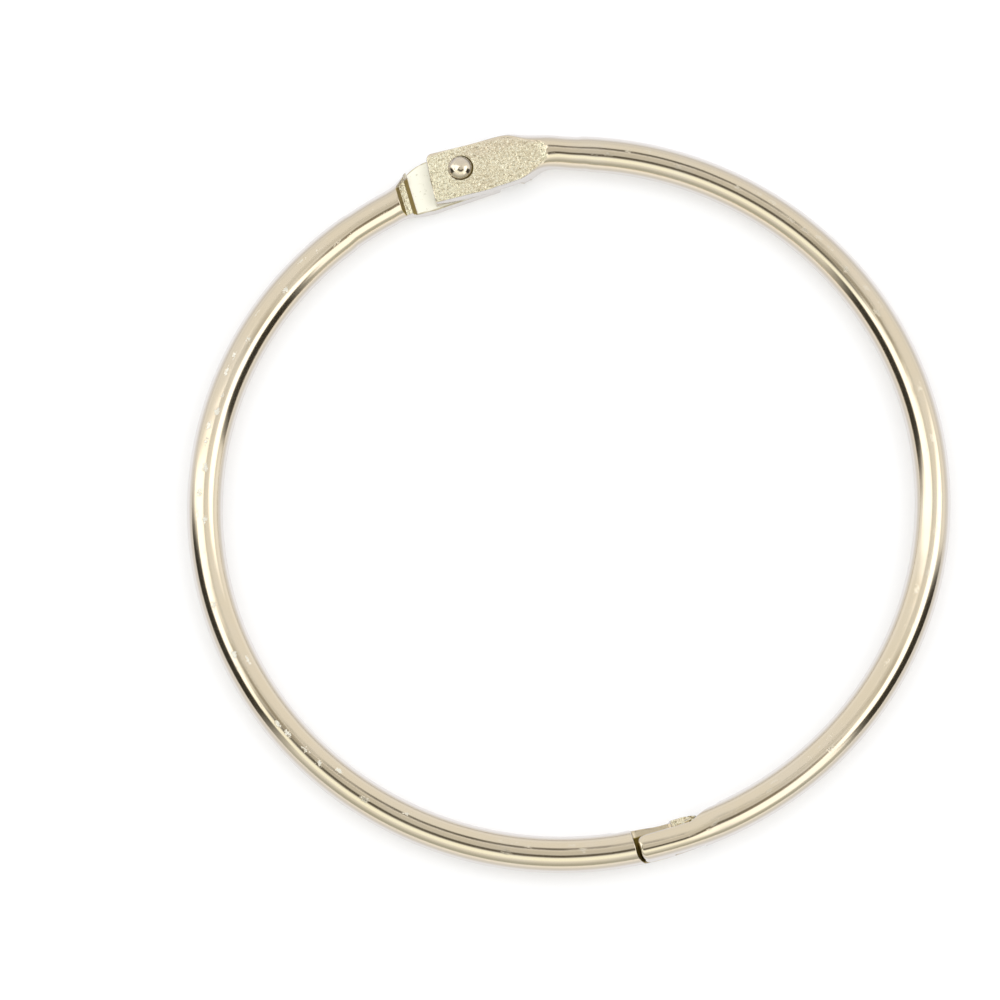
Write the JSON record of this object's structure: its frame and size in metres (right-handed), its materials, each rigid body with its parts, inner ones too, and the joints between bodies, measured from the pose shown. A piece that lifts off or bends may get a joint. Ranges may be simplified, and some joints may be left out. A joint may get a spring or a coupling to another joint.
{
  "type": "binder ring",
  "caption": "Round steel binder ring that opens on a riveted hinge and closes with a stepped hook latch; holds loose punched sheets.",
  "frame": {"origin": "midway between the rivet's axis and the wire's middle line at the latch, on the mating plane of the hinge lugs and of the latch", "axes": "+Z through the ring, towards the side of the upper lug and the upper latch tongue; +Y from the latch to the hinge; +X towards the half ring that opens"},
  "size_m": [0.0765, 0.0762, 0.004],
  "materials": {
    "nickel_wire": "nickel plated steel, polished round wire with a warm tint, rough coined faces on the lug",
    "nickel_rivet": "nickel plated steel, smooth polished domes"
  },
  "bodies": {
    "left_half": {"left_half_ring": "nickel_wire", "hinge_rivet": "nickel_rivet"},
    "right_half": {"right_half_ring": "nickel_wire"}
  },
  "joints": [
    {"name": "hinge", "type": "hinge", "parent": "left_half", "child": "right_half", "pos_m": [0, 0.036, 0], "axis": [0, 0, 1], "range_deg": [0, 140]}
  ]
}
